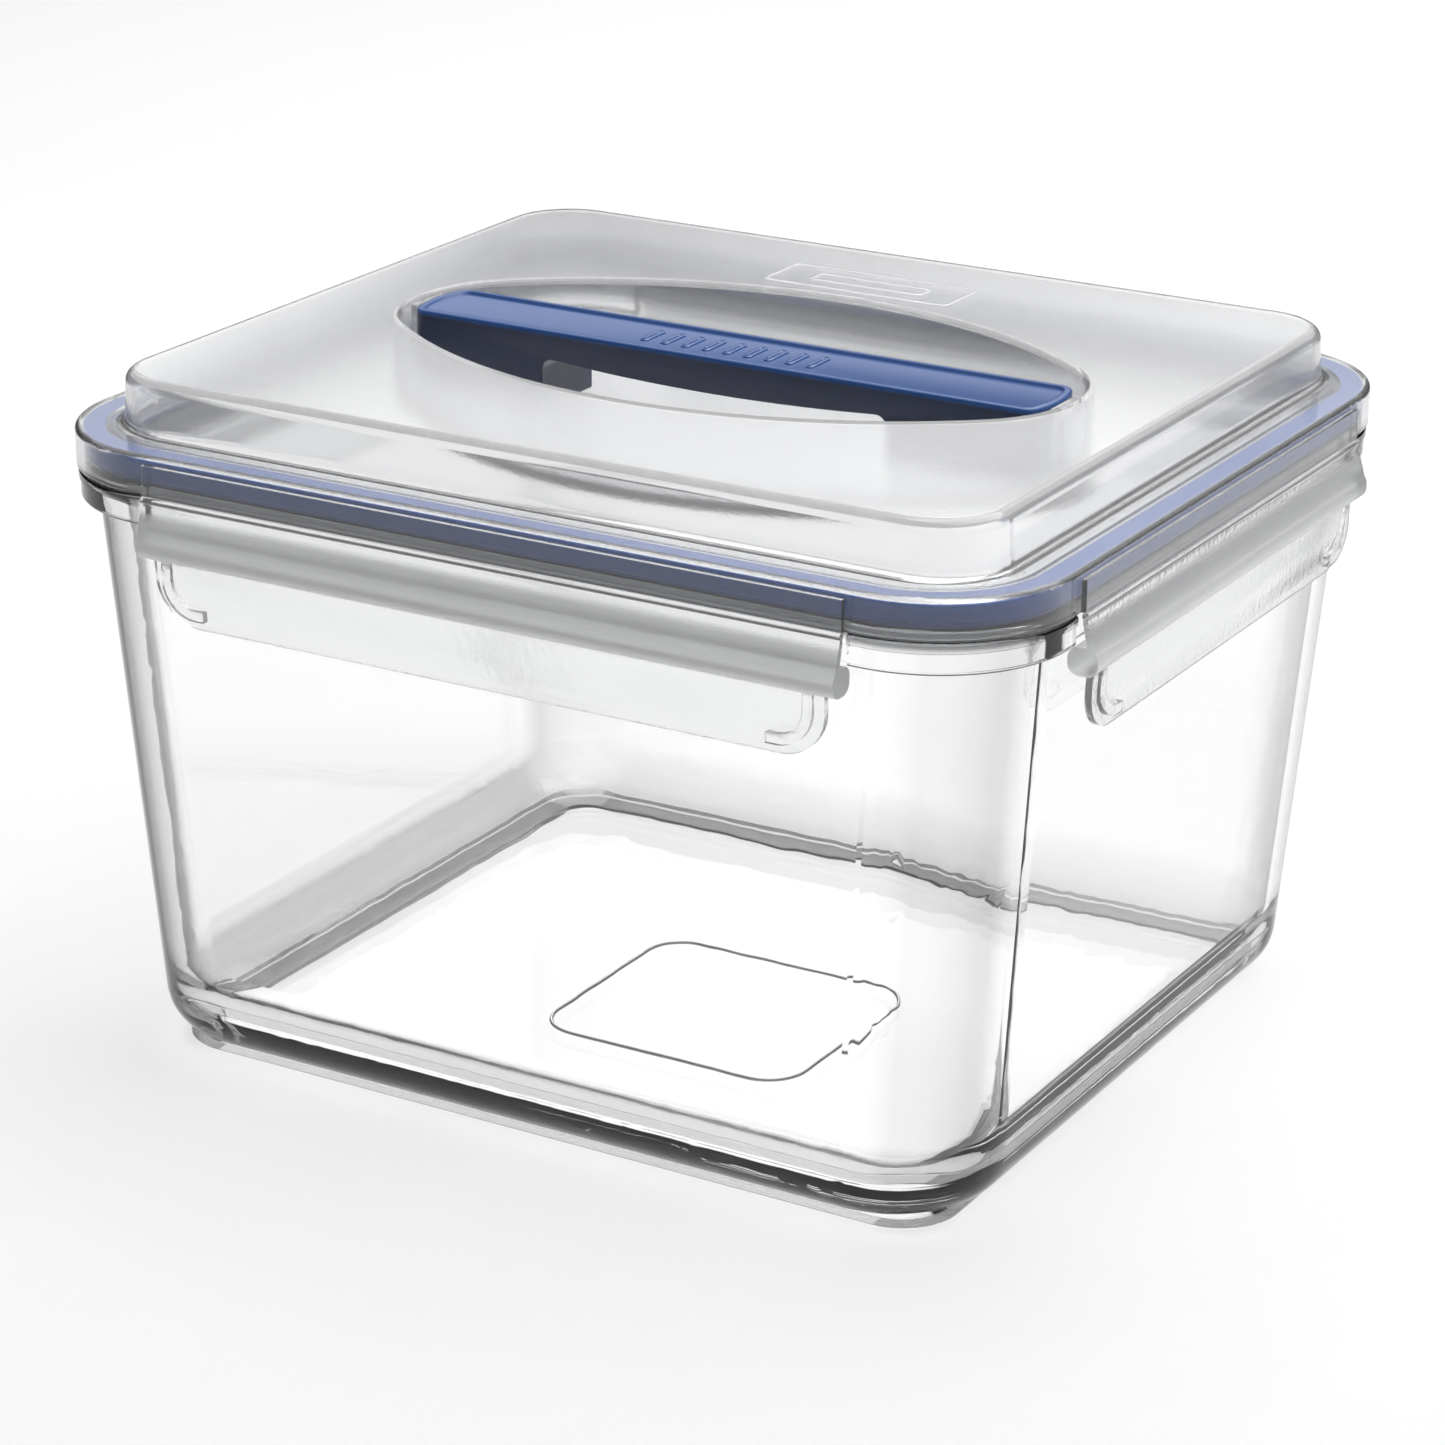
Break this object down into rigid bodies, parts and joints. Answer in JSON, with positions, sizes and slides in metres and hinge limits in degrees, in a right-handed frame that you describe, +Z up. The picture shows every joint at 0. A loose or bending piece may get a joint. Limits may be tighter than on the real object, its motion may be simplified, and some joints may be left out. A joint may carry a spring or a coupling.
{
  "type": "glass storage container",
  "caption": "Deep rectangular glass food container with a clear clip-on lid, soft gasket, four hinged latches and a pull-up carrying handle in a lid recess.",
  "frame": {"origin": "on the ground under the middle of the bowl", "axes": "+Z up, +X along the longer sides, the front latch faces -Y"},
  "size_m": [0.2336, 0.204, 0.1486],
  "materials": {
    "glass": "clear pressed tempered glass, fire-polished",
    "lid_plastic": "milky clear polypropylene, satin",
    "gasket_silicone": "blue silicone, satin",
    "handle_plastic": "solid blue polypropylene, satin",
    "latch_plastic": "milky clear polypropylene, satin"
  },
  "bodies": {
    "bowl": {"glass_bowl": "glass"},
    "lid": {"lid": "lid_plastic", "gasket": "gasket_silicone"},
    "handle": {"handle": "handle_plastic"},
    "front_latch": {"front_latch": "latch_plastic"},
    "back_latch": {"back_latch": "latch_plastic"},
    "left_latch": {"left_latch": "latch_plastic"},
    "right_latch": {"right_latch": "latch_plastic"}
  },
  "joints": [
    {"name": "lid_lift", "type": "slide", "parent": "bowl", "child": "lid", "axis": [0, 0, 1], "range_m": [0, 0.04]},
    {"name": "handle_pull", "type": "slide", "parent": "lid", "child": "handle", "axis": [0, 0, 1], "range_m": [0, 0.011]},
    {"name": "front_latch_hinge", "type": "hinge", "parent": "lid", "child": "front_latch", "pos_m": [0, -0.0991, 0.1283], "axis": [-1, 0, 0], "range_deg": [0, 120]},
    {"name": "back_latch_hinge", "type": "hinge", "parent": "lid", "child": "back_latch", "pos_m": [0, 0.0991, 0.1283], "axis": [1, 0, 0], "range_deg": [0, 120]},
    {"name": "left_latch_hinge", "type": "hinge", "parent": "lid", "child": "left_latch", "pos_m": [-0.1139, 0, 0.1283], "axis": [0, 1, 0], "range_deg": [0, 120]},
    {"name": "right_latch_hinge", "type": "hinge", "parent": "lid", "child": "right_latch", "pos_m": [0.1139, 0, 0.1283], "axis": [0, -1, 0], "range_deg": [0, 120]}
  ]
}
